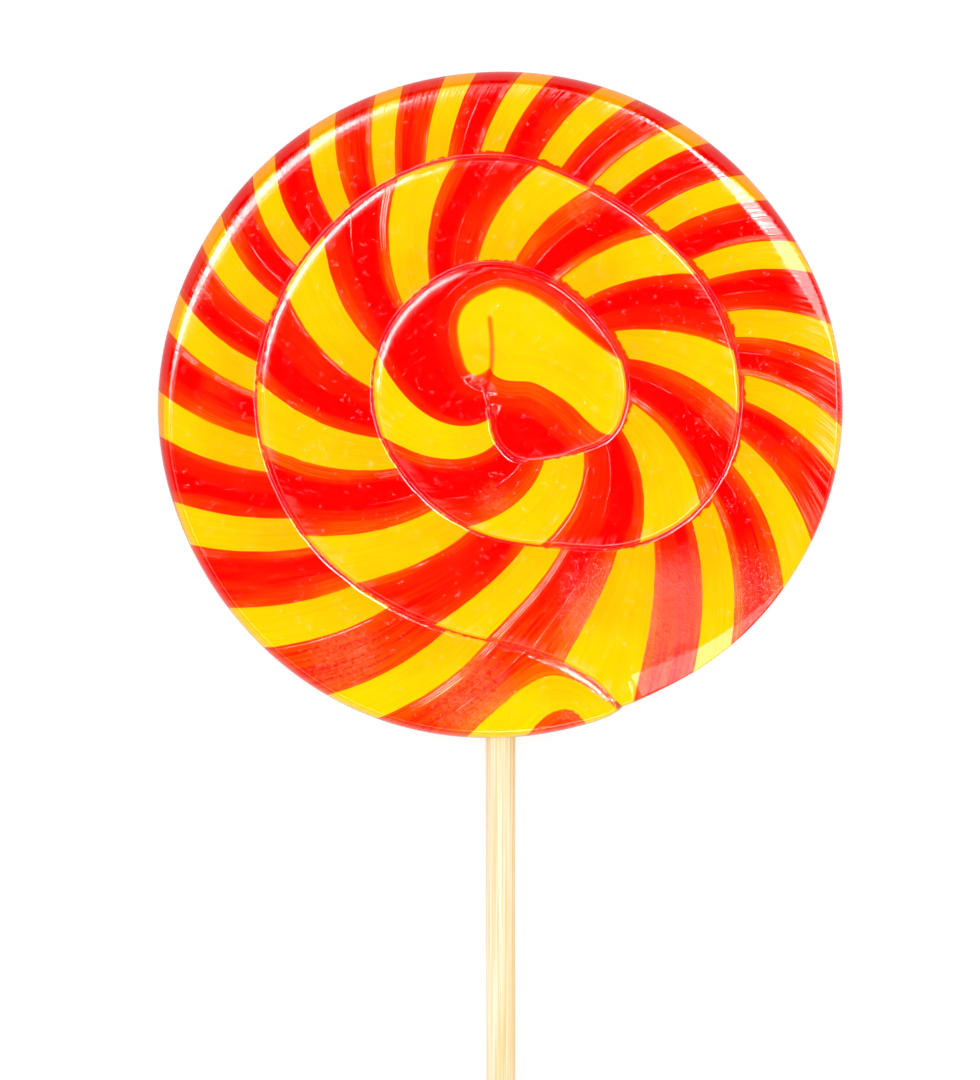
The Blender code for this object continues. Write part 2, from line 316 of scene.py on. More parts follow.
def depth_inside(points, outline):
    """Distance of each point to an outline, positive inside it."""
    closed = np.concatenate([outline, outline[:1]])
    distance, _ = nearest_on_path(points, closed)
    x, y = points[:, :1], points[:, 1:]
    (x0, y0), (x1, y1) = closed[:-1].T, closed[1:].T
    spans = (y0 > y) != (y1 > y)
    rise = np.where(y1 == y0, 1.0, y1 - y0)
    crossings = spans & (x < x0 + (y - y0) * (x1 - x0) / rise)
    inside = crossings.sum(axis=1) % 2 == 1
    return np.where(inside, distance, -distance)


def wobble(points, height, size, seed):
    """Smooth unevenness at each point."""
    humps = [noise.noise(Vector((x / (size * MM), y / (size * MM), seed))) for x, y in points]
    return height * MM * np.array(humps)


def hollow(distance, half_width):
    """Cross-section of a crease: 1 at its bottom, 0 past its half width."""
    return np.clip(1.0 - distance / half_width, 0.0, 1.0) ** 2


def rounding(distance, width):
    """Height of the rounded rim: 0 at the outline, 1 past the shoulder."""
    flat = np.clip(1.0 - distance / width, 0.0, 1.0)
    return (1.0 - flat**ROUNDING_POWER) ** (1.0 / ROUNDING_POWER)


# --- The candy's mesh ---


class SwirlGrid:
    """The coiled rope seen from above, cut into columns.

    A column is a row of points on one ray, from the rope's outer edge to that of the turn
    before, or to the centre. Neighbouring turns share the points of the seam between them.
    """

    def __init__(self, most_rows, more_rows):
        step = 360.0 / COLUMNS_PER_TURN
        self.most_rows = most_rows
        self.more_rows = more_rows
        self.angles = np.arange(SPIRAL_START, TAIL_END + step / 2, step)
        self.edge = edge_radius(self.angles)
        self.points = [(0.0, 0.0)]  # (x, y) of each grid point; the first is the centre
        self.columns = []  # for each column, its point numbers, outer edge first
        self.across = []  # the same, from 1 at the outer edge to 0 at the inner
        self.widths = []
        for number in range(len(self.angles)):
            self.add_column(number)
        self.points = np.array(self.points)
        first_outline = len(self.angles) - 1 - COLUMNS_PER_TURN
        self.rim = [column[0] for column in self.columns[first_outline:]]
        self.seam_angles = self.angles[: first_outline + 1]
        self.seam = on_ray(self.seam_angles, self.edge[: first_outline + 1])

    def add_column(self, number):
        """Lay out one column, with its rows closer together towards its ends."""
        before = number - COLUMNS_PER_TURN
        inner_number = self.columns[before][0] if before > 0 else 0
        inner = self.edge[before] if before > 0 else 0.0
        width = self.edge[number] - inner
        self.widths.append(width)
        if number in (0, len(self.angles) - 1):  # the rope's ends, where it has no width
            self.columns.append([inner_number])
            self.across.append([0.0])
            return
        most = self.most_rows + between(self.more_rows, self.angles[number])
        rows = int(np.clip(math.ceil(width / FINEST_ROW), 1, most))
        part = np.arange(rows) / rows
        part -= END_REFINEMENT * np.sin(2 * np.pi * part) / (2 * np.pi)
        places = on_ray(self.angles[number], self.edge[number] - part * width)
        first = len(self.points)
        self.points.extend(map(tuple, places))
        self.columns.append(list(range(first, first + rows)) + [inner_number])
        self.across.append(list(1.0 - part) + [0.0])

    def faces(self):
        """The faces between neighbouring columns, anticlockwise seen from above.

        Returns each face's point numbers, and each corner's column and place across.
        """
        numbers, corners = [], []
        sizes = [len(column) for column in self.columns]
        for left in range(len(sizes) - 1):
            right = left + 1
            for row in range(max(sizes[left], sizes[right]) - 1):
                face, places = [], []
                for column, down in ((left, 0), (right, 0), (right, 1), (left, 1)):
                    place = min(row + down, sizes[column] - 1)
                    number = self.columns[column][place]
                    if number not in face:
                        face.append(number)
                        places.append((column, self.across[column][place]))
                if len(face) > 2:
                    numbers.append(face)
                    corners.append(places)
        return numbers, corners


def seam_dip(grid, points, strength, depth):
    """Depth of the seam at each point, and distance to it, longer where it doesn't show."""
    path, angles = grid.seam[::PATH_STEP], grid.seam_angles[::PATH_STEP]
    distance, position = nearest_on_path(points, path)
    angle = np.interp(position, np.arange(len(angles)), angles)
    shown = between(strength, angle)
    outside = np.linalg.norm(points, axis=1) > edge_radius(angle)
    wander = wobble(points, *SEAM_WANDER) * smooth_step(distance, 0.0, SEAM_STEADY)
    lip = np.where(outside, between(OUTER_LIP, angle), between(INNER_LIP, angle % 360.0)) * MM
    dip = depth * shown * hollow(np.abs(distance + wander), lip)
    return dip, distance + (1 - shown) * MM


def fold_dip(points):
    """Depth of the crease and the hollow by the folded end, and distance to them."""
    crease, position = nearest_on_path(points, smooth_line(CREASE, CREASE_STEPS) * MM)
    path = smooth_line(LOBE_HOLLOW, LOBE_STEPS) * MM
    lobe, along = nearest_on_path(points, path)
    above = points[:, 1] > np.interp(along, np.arange(len(path)), path[:, 1])
    ramp = np.clip(1.0 - lobe / LOBE_SLOPE, 0.0, 1.0)
    crease_dip = between(CREASE_DEPTHS, position) * MM * hollow(crease, CREASE_HALF_WIDTH)
    lobe_depth = LOBE_HOLLOW_DEPTH * smooth_step(along, *LOBE_FADE)
    dip = np.maximum(crease_dip, lobe_depth * np.where(above, ramp, hollow(lobe, LOBE_LIP)))
    return dip, np.minimum(crease, lobe)


def direction_of(points):
    """Direction of each point from the centre, from 0 to 360."""
    return np.degrees(np.arctan2(points[:, 1], points[:, 0])) % 360.0


def facet_dip(points, to_rim):
    """Depth of the flat facets pressed into the front's shoulder."""
    uneven = wobble(points, *FACET_WANDER)
    dip = np.zeros(len(points))
    for facet in (UPPER_FACET, LOWER_FACET):
        edge = between(facet, direction_of(points)) * MM + uneven
        dip += FACET_SLOPE * np.clip(edge - to_rim, 0.0, None)
    return dip


def stored_distances(points, to_rim, to_seam, to_fold):
    """What is stored at each point, in mm, in the order of its names."""
    values = [to_rim, to_seam, to_fold]
    for band in (RIM_SHADE_WIDTHS, LOWER_FACET):
        width = between(band, direction_of(points)) * MM
        values.append(np.where(width > 0.0, width - to_rim, FAR_OUTSIDE))
    return np.stack(values, axis=1) / MM


def turn_crown(grid, count):
    """How far each point lies below the middle of its turn."""
    crown = np.zeros(count)
    for numbers, across in zip(grid.columns, grid.across):
        crown[numbers] = (2 * np.array(across) - 1) ** 2
    crown[0] = 0.0
    return CROWN * crown


def front_surface(grid):
    """Height of the front at each grid point, and the distances stored there."""
    points = grid.points
    to_rim, _ = nearest_on_path(points, points[grid.rim])
    seam, to_seam = seam_dip(grid, points, FRONT_SEAM, FRONT_SEAM_DEPTH)
    fold, to_fold = fold_dip(points)
    dip = np.maximum(turn_crown(grid, len(points)) + seam, fold)
    for humps in FRONT_HUMPS:
        dip += wobble(points, *humps)
    dip -= dip.min()
    dip += facet_dip(points, to_rim)
    width = smooth_through(FRONT_ROUNDING, direction_of(points)) * MM
    height = MIDDLE + (MIDDLE - dip) * rounding(to_rim, width)
    return height, stored_distances(points, to_rim, to_seam, to_fold)


def back_surface(grid):
    """Height of the back at each grid point, and the distances stored there."""
    points = grid.points
    to_rim, _ = nearest_on_path(points, points[grid.rim])
    dip, to_seam = seam_dip(grid, points, BACK_SEAM, BACK_SEAM_DEPTH)
    height = MIDDLE - (MIDDLE - dip) * rounding(to_rim, BACK_ROUNDING)
    to_fold = np.full(len(points), THICKNESS)
    return height, stored_distances(points, to_rim, to_seam, to_fold)


# --- The twist of the rope, which places the stripes ---


def stripe_angle(number, radius, side):
    """Running angle at which a stripe crosses a distance in mm from the centre."""
    outer, inner, bow = (
        smooth_through([(row[0], row[column]) for row in STRIPES], number) for column in (1, 2, 3)
    )
    outer_radius = edge_radius(outer) / MM
    inner_radius = edge_radius(np.maximum(inner - 360.0, SPIRAL_START)) / MM
    part = (outer_radius - radius) / (outer_radius - inner_radius)
    if side == "back":
        return outer - (inner - outer) * np.maximum(part, 0.0)
    inside = np.clip(part, 0.0, 1.0)
    return outer + (inner - outer) * part + bow * 4 * inside * (1 - inside)


def twist_by_law(angle, radius, side="front"):
    """Full twists of the rope at a running angle and a distance in mm from the centre."""
    low = np.full(len(angle), float(STRIPES[0][0]))
    high = np.full(len(angle), float(STRIPES[-1][0]))
    for _ in range(HALVINGS):
        middle = (low + high) / 2
        before = stripe_angle(middle, radius, side) < angle
        low = np.where(before, middle, low)
        high = np.where(before, high, middle)
    return ((low + high) / 2 - 1) / 2


def hook_twist(points, centres):
    """Twist round the hook. A whole face lies above or below it, by where its centre is."""
    top, below = map(smooth_line, (HOOK_TOP, HOOK_BELOW), HOOK_STEPS)
    inside = depth_inside(points / MM, np.concatenate([top, below[1:-1]]))
    to_top, _ = nearest_on_path(centres / MM, top)
    to_below, _ = nearest_on_path(centres / MM, below)
    border = HOOK_BORDER_TWIST * smooth_step(-inside, *HOOK_BORDER)
    above = np.clip(EVEN_STRIPE[1] - inside * HOOK_PER_MM + border, 0.0, RED_MIDDLE)
    under = np.clip(-EVEN_STRIPE[0] - inside * PER_MM, 0.0, RED_MIDDLE)
    return -0.5 + np.where(to_below < to_top, -under, above)


def arch_twist(points):
    """Twist round the arch that the last stripe makes at the tail."""
    middle = (ARCH_STRIPE - 1) / 2
    in_arch, in_patch = (
        depth_inside(points / MM, smooth_line(on_ray(*np.array(outline).T), steps))
        for outline, steps in ((ARCH, ARCH_STEPS), (PATCH, PATCH_STEPS))
    )
    lean = (in_arch + in_patch) / np.maximum(in_arch - in_patch, ARCH_LEAST_WIDTH)
    twist = middle + np.interp(lean, (-1.0, 0.0, 1.0), (EVEN_STRIPE[0], 0.0, EVEN_STRIPE[1]))
    twist = np.where(in_patch > 0, middle + EVEN_STRIPE[1] + in_patch * PATCH_PER_MM, twist)
    return np.where(in_arch < 0, middle + EVEN_STRIPE[0] + in_arch * PER_MM, twist)


def front_twist(angle, points, centres):
    """Twist on the front, with the hook by the centre and the arch at the tail."""
    twist = twist_by_law(angle, np.linalg.norm(points, axis=1) / MM)
    core = angle < CORE_END
    hook = hook_twist(points[core], centres[core])
    law = twist[core]
    beside = np.where(law > -RED_MIDDLE, law, np.minimum(-RED_MIDDLE, hook))
    twist[core] = np.where(angle[core] < HOOK_END, hook, beside)

    tail = angle > TAIL_START
    share = smooth_step(twist[tail], *ARCH_FROM)
    twist[tail] += share * (arch_twist(points[tail]) - twist[tail])
    return twist


def corner_values(grid, corners, points, side):
    """Per face corner: twist, place across, and distance in mm from the rope's inner edge."""
    column, across = np.array([corner for face in corners for corner in face]).T
    column = column.astype(int)
    angle = grid.angles[column]
    inner = across * np.array(grid.widths)[column] / MM
    if side == "front":
        sizes = np.array([len(face) for face in corners])
        face = np.repeat(np.arange(len(sizes)), sizes)
        centres = [np.bincount(face, axis)[face] / sizes[face] for axis in points.T]
        return np.stack([front_twist(angle, points, np.stack(centres, axis=1)), across, inner], axis=1)
    outer_edge = on_ray(grid.angles, grid.edge)
    at_edge = twist_by_law(grid.angles, grid.edge / MM)
    shift = front_twist(grid.angles, outer_edge, outer_edge) - at_edge
    shift[grid.angles < OUTLINE_START] = 0.0
    twist = twist_by_law(angle, np.linalg.norm(points, axis=1) / MM, "back")
    twist += smooth_step(angle, *STRAIGHT_TAIL) * (at_edge[column] - twist) + shift[column]
    return np.stack([twist, across, inner], axis=1)


def map_places(points, heights, centre):
    """Places on the flat map for one side of the disc."""
    radius = np.linalg.norm(points, axis=1)
    drop = np.abs(heights - heights[0])
    stretch = (radius + drop) / np.maximum(radius, MM)
    return np.array(centre) + points * stretch[:, None] * MAP_SCALE


def candy_object():
    """The fused disc as one closed mesh, whose front and back meet round the rim."""
    front, back = SwirlGrid(FRONT_ROWS, FOLD_ROWS), SwirlGrid(BACK_ROWS, ((0, 0),))
    front_height, front_distances = front_surface(front)
    back_height, back_distances = back_surface(back)

    kept = np.ones(len(back.points), dtype=bool)
    kept[back.rim] = False
    back_number = np.empty(len(back.points), dtype=int)
    back_number[kept] = len(front.points) + np.arange(kept.sum())
    back_number[back.rim] = front.rim

    front_faces, front_corners = front.faces()
    back_faces, back_corners = back.faces()
    faces = front_faces + [[int(back_number[n]) for n in reversed(face)] for face in back_faces]
    back_corners = [face[::-1] for face in back_corners]
    vertices = np.concatenate([
        np.column_stack([front.points, front_height]),
        np.column_stack([back.points, back_height])[kept],
    ])
    mesh = bpy.data.meshes.new("candy_swirl")
    mesh.from_pydata(vertices.tolist(), [], faces)
    mesh.shade_smooth()

    front_at = np.concatenate(front_faces)
    back_at = np.concatenate([face[::-1] for face in back_faces])
    rope = np.concatenate([
        corner_values(front, front_corners, front.points[front_at], "front"),
        corner_values(back, back_corners, back.points[back_at], "back"),
    ])
    set_attribute(mesh, "rope", "FLOAT_VECTOR", "CORNER", rope)
    distances = np.concatenate([front_distances, back_distances[kept]])
    for name, values in zip(DISTANCES, distances.T):
        set_attribute(mesh, name, "FLOAT", "POINT", values)

    places = np.concatenate([
        map_places(front.points, front_height, MAP_FRONT)[front_at],
        map_places(back.points, back_height, MAP_BACK)[back_at],
    ])
    mesh.uv_layers.new(name="OFBake").data.foreach_set("uv", places.astype(np.float32).ravel())
    return add_object("candy_swirl", mesh, candy_material())


def set_attribute(mesh, name, kind, domain, values):
    """Store a named value for each point or face corner of a mesh."""
    attribute = mesh.attributes.new(name, kind, domain)
    key = "vector" if kind == "FLOAT_VECTOR" else "value"
    attribute.data.foreach_set(key, np.asarray(values, dtype=np.float32).ravel())


def add_object(name, data, material=None):
    """Link a mesh, a light or a camera into the scene."""
    obj = bpy.data.objects.new(name, data)
    bpy.context.scene.collection.objects.link(obj)
    if material:
        data.materials.append(material)
    return obj


# --- Materials ---


class Nodes:
    """Adds nodes to a material or a world and links them."""

    def __init__(self, owner):
        owner.use_nodes = True
        self.tree = owner.node_tree

    def add(self, kind, inputs=None, **settings):
        """Add a node, set it up, and feed its inputs."""
        node = self.tree.nodes.new(kind)
        for key, value in settings.items():
            setattr(node, key, value)
        for key, value in (inputs or {}).items():
            self.feed(node.inputs[key], value)
        return node

    def feed(self, socket, value):
        """Give a socket a number, or link another node's output to it."""
        if isinstance(value, bpy.types.NodeSocket):
            self.tree.links.new(value, socket)
        else:
            socket.default_value = value

    def math(self, operation, *values):
        """A Math node's result."""
        return self.add("ShaderNodeMath", dict(enumerate(values)), operation=operation).outputs[0]

    def times(self, *factors):
        product = factors[0]
        for factor in factors[1:]:
            product = self.math("MULTIPLY", product, factor)
        return product

    def line(self, value, slope, base):
        """A number times a slope, plus a base."""
        return self.math("MULTIPLY_ADD", value, slope, base)

    def minus(self, first, second):
        return self.math("SUBTRACT", first, second)

    def most(self, first, second):
        return self.math("MAXIMUM", first, second)

    def vector(self, x, y, z=0.0):
        return self.add("ShaderNodeCombineXYZ", {0: x, 1: y, 2: z}).outputs[0]

    def axes(self, vector):
        return self.add("ShaderNodeSeparateXYZ", {0: vector}).outputs

    def scaled(self, vector, scale):
        return self.add("ShaderNodeVectorMath", {0: vector, "Scale": scale}, operation="SCALE").outputs[0]

    def length(self, vector):
        return self.add("ShaderNodeVectorMath", {0: vector}, operation="LENGTH").outputs["Value"]

    def smooth(self, value, low, high):
        """Rise smoothly from 0 at low to 1 at high; low may be the larger one."""
        inputs = {0: value, 1: low, 2: high}
        return self.add("ShaderNodeMapRange", inputs, interpolation_type="SMOOTHSTEP").outputs[0]

    def noise(self, vector, scale, detail=2.0, distortion=0.0):
        """Smooth noise about 0.5."""
        inputs = {"Vector": vector, "Scale": scale, "Detail": detail, "Distortion": distortion}
        return self.add("ShaderNodeTexNoise", inputs).outputs["Fac"]

    def streaks(self, rope, twist_scale, across_scale):
        """Noise drawn out along the stripes."""
        along = self.vector(self.times(rope[0], twist_scale), self.times(rope[1], across_scale))
        return self.noise(along, 1.0, 3.0)

    def ramp(self, value, stops):
        """A colour read from (position, colour) stops."""
        node = self.add("ShaderNodeValToRGB", {0: value})
        ramp = node.color_ramp
        while len(ramp.elements) < len(stops):
            ramp.elements.new(1.0)
        for element, (position, colour) in zip(ramp.elements, stops):
            element.position = position
            element.color = (*colour, 1.0)
        return node.outputs["Color"]

    def steps(self, value, stops):
        """A number read from (position, number) stops."""
        return self.ramp(value, [(position, (number,) * 3) for position, number in stops])

    def bump(self, shader, height, scale):
        """Give a shader a surface of heights, whose unit is a size in metres."""
        node = self.add("ShaderNodeBump", {"Height": height, "Distance": scale, "Strength": 1.0})
        self.feed(shader.inputs["Normal"], node.outputs[0])


# Noises: humps per mm, finer layers and distortion. Streaks: how fine along a twist and across.
STREAKS, HAIRS = (60.0, 1.6), (130.0, 2.5)
NOISES = {
    "mottle": (1.3, 4.0), "patches": (0.075, 1.0), "gloss": (0.5, 4.0), "border": (0.35, 3.0),
    "wrinkle": (0.9, 4.0, 0.8), "fine wrinkle": (3.2, 3.0), "tone": (0.12,), "torn": (1.1, 4.0),
    "lines shown": (0.11, 1.0), "line": (0.4, 2.0), "swell": (0.8, 2.0), "scratch": (0.55, 2.0, 1.2),
    "scratch shown": (0.9, 2.0),
}
# Two directions across the disc: how much of X and of Y they have.
UP, UP_RIGHT = (0.30, 0.95), (0.86, 0.50)

# Where something shows: by what it goes, where it isn't there, and where it is in full.
OUTSIDE_CORE = (("radius", 12.0, 20.0),)
IN_CORE = (("radius", 22.0, 8.0),)
# Where the yellow is painted lighter, at the bottom, as painted light.
LIT_BOTTOM = (("y", -24.0, -42.0),)
# Painted shade of the rim's steep side, in a band round the rim.
PAINTED_RIM_SHADE = (("in_band", -0.08, 0.12),)
# Where the crease is painted in shade.
FOLD = (("to_fold", 0.55, 0.0),)
# Where the painted shade and painted reflection on the seam's lip begin.
LIP_START = (("past_seam", -0.14, -0.04),)
LIP_WIDENS = (("y", -20.0, 15.0),)
WRINKLED = (("y", -16.0, -26.0), ("x", 4.0, 14.0))
BRUSHED_RIM = (("to_rim", 4.6, 2.4), ("in_band", 0.1, -0.1), ("up", -12.0, 4.0))
BRUSHED_SEAM = (("past_seam", -2.0, -0.8), ("past_seam", 0.0, -0.1))
MAY_BE_DULL = (("in_facet", -1.1, -1.5), ("to_rim", 0.5, 1.4))
ORANGE_PATCHES = (("patches", 0.36, 0.62),)
ORANGE_HAIRS = (("hairs", 0.36, 0.64),)
RUBBED = (("to_rim", 12.0, 6.0), ("patches", 0.50, 0.62), ("streaks", 0.36, 0.60))
ORANGE_BOTTOM = (("y", -18.0, -36.0), ("streaks", 0.34, 0.62))
TORN_SIDE = (("up_right", 2.0, 16.0),)
TORN_ACROSS = (("across", 0.5, 0.3),)
GRAIN_BY_SEAM = (("to_seam", 1.6, 0.3),)
GRAIN_BY_RIM = (("to_rim", 4.5, 2.0),)

# Roughness: what noise, dull patches and brushing add to it, and the least.
GLOSS, DULL, BRUSHED, LEAST_ROUGH = 0.05, 0.25, 0.32, 0.015
SUGAR_IOR = 1.5


class Sugar(Nodes):
    """The candy's material, with the places and noises that its look goes by."""

    def __init__(self, material):
        super().__init__(material)
        rope = self.axes(self.add("ShaderNodeAttribute", attribute_name="rope").outputs["Vector"])
        place = self.scaled(self.add("ShaderNodeTexCoord").outputs["Object"], 1 / MM)
        x, y, _ = self.axes(place)
        self.places = {
            "twist": rope[0], "across": rope[1], "inner": rope[2], "place": place, "x": x, "y": y,
            "radius": self.length(place),
            "up": self.line(x, UP[0], self.times(y, UP[1])),
            "up_right": self.line(x, UP_RIGHT[0], self.times(y, UP_RIGHT[1])),
            "streaks": self.streaks(rope, *STREAKS),
            "hairs": self.streaks(rope, *HAIRS),
        }
        for name, look in NOISES.items():
            self.places[name] = self.noise(place, *look)
        for name in DISTANCES:
            self.places[name] = self.add("ShaderNodeAttribute", attribute_name=name).outputs["Fac"]
        side = self.line(self.math("GREATER_THAN", rope[1], 0.5), -2.0, 1.0)
        self.places["past_seam"] = self.times(self["to_seam"], side)  # negative inside the seam

    def __getitem__(self, name):
        """One of the places or noises."""
        return self.places[name]

    def drift(self, name):
        """One of the noises, about 0."""
        return self.minus(self[name], 0.5)

    def thin_lines(self, name, width):
        """1 in the thin lines where a noise passes its middle."""
        return self.smooth(self.math("ABSOLUTE", self.drift(name)), *width)

    def shown(self, fades):
        """How fully something shows, by its fades."""
        return self.times(*(self.smooth(self[name], *ends) for name, *ends in fades))


def candy_material():
    """Glossy boiled sugar, striped, with fine marks in its surface."""
    material = bpy.data.materials.new("candy sugar")
    sugar = Sugar(material)
    yellow = yellow_share(sugar)
    wrinkles = wrinkling(sugar)
    frost = frosting(sugar, wrinkles)

    shader = sugar.tree.nodes["Principled BSDF"]
    sugar.feed(shader.inputs["Base Color"], sugar_colour(sugar, yellow, frost))
    roughness = sugar.line(sugar["gloss"], GLOSS, LEAST_ROUGH)
    roughness = sugar.line(sugar.times(frost, sugar.minus(1.0, yellow)), DULL, roughness)
    roughness = sugar.line(brushing(sugar), BRUSHED, roughness)
    sugar.feed(shader.inputs["Roughness"], roughness)
    sugar.bump(shader, surface_marks(sugar, yellow, wrinkles), MM)
    shader.inputs["IOR"].default_value = SUGAR_IOR
    return material


BORDER_SWING = (0.85, 0.15)  # what being off the core adds to it, and the least
BORDER_DRIFT, BORDER_SOFT = 0.010, 0.001  # how far a border moves, and half of its width


def border_swing(sugar):
    """How much the stripes' borders move: less in the core."""
    return sugar.line(sugar.shown(OUTSIDE_CORE), *BORDER_SWING)


def yellow_share(sugar):
    """1 on the yellow stripes and 0 on the red ones."""
    drift = sugar.times(sugar.drift("border"), border_swing(sugar))
    phase = sugar.math("FRACT", sugar.line(drift, BORDER_DRIFT, sugar["twist"]))
    borders = (ODD_STRIPE[1], 0.5 + EVEN_STRIPE[0], 0.5 + EVEN_STRIPE[1], 1.0 + ODD_STRIPE[0])
    stops = [(0.0, 1.0)]
    for number, border in enumerate(borders):
        before = 1.0 - number % 2
        stops += [(border - BORDER_SOFT, before), (border + BORDER_SOFT, 1.0 - before)]
    return sugar.steps(phase, stops)


WRINKLE_WIDTH = (0.045, 0.015)
FINE_WRINKLES = (("fine wrinkle", 0.50, 0.60),)
WRINKLE_STRENGTH, FINE_STRENGTH = 0.9, 0.55


def wrinkling(sugar):
    """Short wrinkles, like those of leather."""
    line = sugar.times(sugar.thin_lines("wrinkle", WRINKLE_WIDTH), WRINKLE_STRENGTH)
    return sugar.most(line, sugar.times(sugar.shown(FINE_WRINKLES), FINE_STRENGTH))


# Dull patches of the red sugar: place, radius, and how dull.
FROSTED = (
    (25.0, -28.0, 11.0, 0.45), (-20.6, -33.5, 6.5, 0.6), (-4.0, -38.5, 7.5, 0.7),
    (10.7, -27.8, 3.5, 0.4), (10.7, 26.5, 3.0, 0.4), (-1.0, -12.7, 3.0, 0.4), (29.0, -1.0, 3.0, 0.4),
)
FROST_BY_STREAKS, FROST_BY_MOTTLE = 3.0, 5.0  # how far they move a patch's border
FROST_FULL = 0.4  # the share of its radius within which it is at its dullest
SHINY_WRINKLES = -0.95


def frosting(sugar, wrinkles):
    """How dull the sugar is: in patches, but hardly in their wrinkles."""
    ragged = sugar.times(sugar.drift("mottle"), FROST_BY_MOTTLE)
    ragged = sugar.line(sugar.drift("streaks"), FROST_BY_STREAKS, ragged)
    frost = 0.0
    for x, y, radius, strength in FROSTED:
        away = sugar.length(sugar.vector(sugar.minus(sugar["x"], x), sugar.minus(sugar["y"], y)))
        patch = sugar.smooth(sugar.math("ADD", away, ragged), radius, radius * FROST_FULL)
        frost = sugar.most(sugar.times(patch, strength), frost)
    return sugar.times(frost, sugar.line(wrinkles, SHINY_WRINKLES, 1.0), sugar.shown(MAY_BE_DULL))


BRUSHED_BY_SEAM = 0.6
BRUSHED_HAIRS = (0.49, 0.54)


def brushing(sugar):
    """Hair-fine streaks along the stripes, at the rim and by the seam."""
    seam = sugar.times(sugar.shown(BRUSHED_SEAM), BRUSHED_BY_SEAM)
    hairs = sugar.line(sugar["streaks"], 0.5, sugar.times(sugar["hairs"], 0.5))
    hairs = sugar.smooth(hairs, *BRUSHED_HAIRS)
    return sugar.times(sugar.most(sugar.shown(BRUSHED_RIM), seam), hairs)


RED_LEVEL = 0.88
YELLOW_REDDER = 0.06  # how much more red the yellow has
TORN_OFF_GREEN = -0.92  # what a ragged end takes from the yellow's green
# The band on the seam's lip that gets painted shade and, on the red, a painted reflection.
LIP_WIDTH = (0.26, 0.20)  # what the upper part adds to the clear lip's, and the least
LIP_END = (0.10, -0.06)
# How strongly painted shade darkens the seam's lip and the crease.
LIP_SHADE_STRENGTH, FOLD_SHADE_STRENGTH = 0.75, 0.9
SHADE_TAKES_RED = (0.16, -0.20)  # painted shade takes away red, less of it on the yellow
# Green that painted shade takes away, and more of it in the crease.
SHADE_TAKES_GREEN, CREASE_SHADE_GREEN = -0.42, -0.60
# Blue of the painted pinkish reflection on the seam's lip.
LIP_REFLECTION_BLUE = 0.012


def sugar_colour(sugar, yellow, frost):
    """The sugar's colour, with painted shade round the rim, on the seam's lip and in the crease, and a
    painted reflection on the lip.
    """
    red_sugar = sugar.minus(1.0, yellow)
    whole = sugar.line(ragged_end(sugar), TORN_OFF_GREEN, 1.0)
    green = sugar.times(yellow_tone(sugar), whole, yellow)
    green = sugar.line(orange_share(sugar, frost), red_sugar, green)

    # The seam's lip: painted shade, and a painted reflection on its red sugar.
    width = sugar.line(sugar.shown(LIP_WIDENS), *LIP_WIDTH)
    lip = sugar.smooth(sugar.minus(sugar["past_seam"], width), *LIP_END)
    lip = sugar.times(lip, sugar.shown(LIP_START))
    # Painted shade along the crease.
    fold = sugar.times(sugar.shown(FOLD), FOLD_SHADE_STRENGTH)
    # Painted shade: the rim band, the seam's lip and the crease.
    painted_shade = sugar.most(sugar.shown(PAINTED_RIM_SHADE), sugar.most(sugar.times(lip, LIP_SHADE_STRENGTH), fold))

    red = sugar.times(sugar.line(painted_shade, sugar.line(yellow, *SHADE_TAKES_RED), 1.0), RED_LEVEL)
    red = sugar.line(yellow, YELLOW_REDDER, red)
    green = sugar.times(green, sugar.line(painted_shade, SHADE_TAKES_GREEN, 1.0), sugar.line(fold, CREASE_SHADE_GREEN, 1.0))
    blue = sugar.times(lip, red_sugar, LIP_REFLECTION_BLUE)
    return sugar.add("ShaderNodeCombineColor", {0: red, 1: green, 2: blue}).outputs[0]


# How much green the red sugar has round one full twist; the more, the more orange.
RED_BANDS = (
    (0.088, 0.066), (0.128, 0.050), (0.132, 0.016), (0.148, 0.010), (0.152, 0.0), (0.268, 0.0),
    (0.274, 0.007), (0.322, 0.014), (0.328, 0.028), (0.388, 0.052), (0.597, 0.044), (0.630, 0.028),
    (0.636, 0.010), (0.740, 0.005), (0.745, 0.0), (0.830, 0.0), (0.836, 0.008), (0.893, 0.040),
)
# How far the bands' borders move with the streaks, the mottle and between stripes.
BAND_STREAKS, BAND_MOTTLE, BAND_DRIFT = 0.035, 0.012, 0.10
STRIPE_STRETCH = 2.3
PATCH_STRENGTH = (1.0, 0.5)  # what they add to the bands' strength, and the least
HAIR_STRENGTH = (0.9, 0.55)
RUBBED_GREEN, BOTTOM_GREEN, FROST_GREEN = 0.020, 0.050, 0.060


def orange_share(sugar, frost):
    """How much green the red sugar has: most beside the yellow."""
    smear = sugar.times(sugar.drift("streaks"), BAND_STREAKS)
    smear = sugar.line(sugar.drift("mottle"), BAND_MOTTLE, smear)
    stripe = sugar.vector(sugar.times(sugar["twist"], STRIPE_STRETCH), sugar["across"])
    smear = sugar.line(sugar.minus(sugar.noise(stripe, 1.0, 1.0), 0.5), BAND_DRIFT, smear)
    phase = sugar.math("FRACT", sugar.line(smear, border_swing(sugar), sugar["twist"]))
    patches = sugar.line(sugar.shown(ORANGE_PATCHES), *PATCH_STRENGTH)
    hairs = sugar.line(sugar.shown(ORANGE_HAIRS), *HAIR_STRENGTH)
    orange = sugar.times(sugar.steps(phase, RED_BANDS), patches, hairs)
    orange = sugar.line(sugar.shown(RUBBED), RUBBED_GREEN, orange)
    orange = sugar.line(sugar.shown(ORANGE_BOTTOM), BOTTOM_GREEN, orange)
    return sugar.line(frost, FROST_GREEN, orange)


